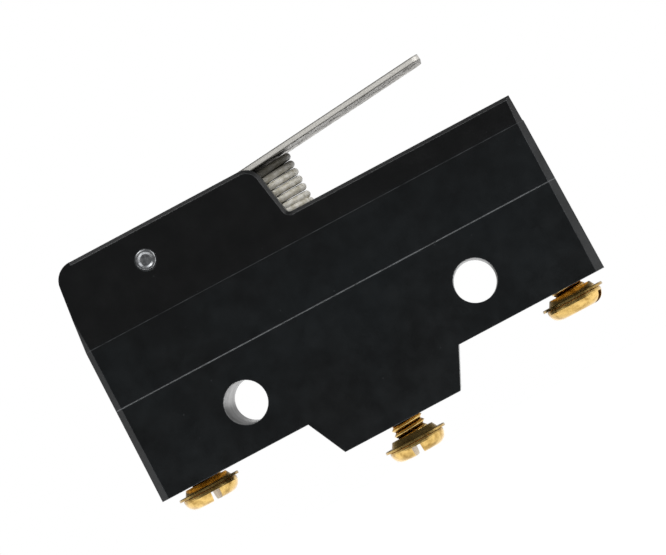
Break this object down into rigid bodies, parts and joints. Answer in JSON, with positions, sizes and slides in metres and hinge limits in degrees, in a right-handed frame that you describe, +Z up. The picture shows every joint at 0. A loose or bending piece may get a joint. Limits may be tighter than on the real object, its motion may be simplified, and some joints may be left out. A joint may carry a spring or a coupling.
{
  "type": "lever micro switch",
  "caption": "Black moulded snap-action switch with a sprung steel hinge lever, two through mounting holes and brass screw terminals along its base.",
  "frame": {"origin": "centre of the left mounting hole, at mid depth of the body", "axes": "+X along the body towards the lever's tip, +Y along the mounting holes from the front face to the back, +Z up towards the lever"},
  "size_m": [0.049, 0.0174, 0.0352],
  "materials": {
    "housing": "black moulded phenolic, satin",
    "lever": "stainless strip, mill finish",
    "pin": "steel, satin",
    "spring": "spring wire, bright",
    "plunger": "dark red phenolic, satin",
    "blade": "beryllium copper, rolled",
    "terminal": "brass strip, rolled",
    "contact": "silver, bright",
    "insert": "turned brass",
    "washer": "pressed brass, bright",
    "screw": "brass, bright"
  },
  "bodies": {
    "housing": {"case": "housing", "cover": "housing", "pivot_pin": "pin", "return_spring": "spring", "snap_blade": "blade", "blade_clamp": "terminal", "blade_rivet": "terminal", "tongue_anchor": "terminal", "common_strip": "terminal", "open_strip": "terminal", "closed_strip": "terminal", "open_contact": "contact", "closed_contact": "contact", "common_insert": "insert", "open_insert": "insert", "closed_insert": "insert"},
    "lever": {"lever": "lever"},
    "plunger": {"plunger": "plunger"},
    "moving_contact": {"moving_contact": "contact"},
    "common_washer": {"common_washer": "washer"},
    "common_screw": {"common_screw": "screw"},
    "open_washer": {"open_washer": "washer"},
    "open_screw": {"open_screw": "screw"},
    "closed_washer": {"closed_washer": "washer"},
    "closed_screw": {"closed_screw": "screw"}
  },
  "joints": [
    {"name": "lever_hinge", "type": "hinge", "parent": "housing", "child": "lever", "pos_m": [-0.00215, 0, 0.01695], "axis": [0, 1, 0], "range_deg": [0, 9], "stiffness_Nm_per_rad": 0.1, "springref_deg": -8.59, "deforming": ["return_spring"]},
    {"name": "plunger_slide", "type": "slide", "parent": "housing", "child": "plunger", "axis": [0, 0, -1], "range_m": [0, 0.0012]},
    {"name": "contact_travel", "type": "slide", "parent": "housing", "child": "moving_contact", "axis": [0, 0, -1], "range_m": [0, 0.00095], "deforming": ["snap_blade"]},
    {"name": "common_screw_travel", "type": "slide", "parent": "housing", "child": "common_washer", "axis": [0, 0, -1], "range_m": [-0.00012, 0.0025]},
    {"name": "common_screw_turn", "type": "hinge", "parent": "common_washer", "child": "common_screw", "pos_m": [-0.0078, 0, -0.008], "axis": [0, 0, -1], "range_deg": [-75, 1505]},
    {"name": "open_screw_travel", "type": "slide", "parent": "housing", "child": "open_washer", "axis": [0, 0, -1], "range_m": [-0.00152, 0.0015]},
    {"name": "open_screw_turn", "type": "hinge", "parent": "open_washer", "child": "open_screw", "pos_m": [0.0127, 0, -0.008], "axis": [0, 0, -1], "range_deg": [-915, 905]},
    {"name": "closed_screw_travel", "type": "slide", "parent": "housing", "child": "closed_washer", "axis": [0, 0, -1], "range_m": [-0.00047, 0.0025]},
    {"name": "closed_screw_turn", "type": "hinge", "parent": "closed_washer", "child": "closed_screw", "pos_m": [0.0332, 0, -0.008], "axis": [0, 0, -1], "range_deg": [-285, 1505]}
  ],
  "couplings": [
    {"joint": "plunger_slide", "follows": "lever_hinge", "m_per_rad": 0.00705},
    {"joint": "contact_travel", "follows": "lever_hinge", "m_per_rad": 0.00573},
    {"joint": "common_screw_turn", "follows": "common_screw_travel", "rad_per_m": 10472},
    {"joint": "open_screw_turn", "follows": "open_screw_travel", "rad_per_m": 10472},
    {"joint": "closed_screw_turn", "follows": "closed_screw_travel", "rad_per_m": 10472}
  ]
}
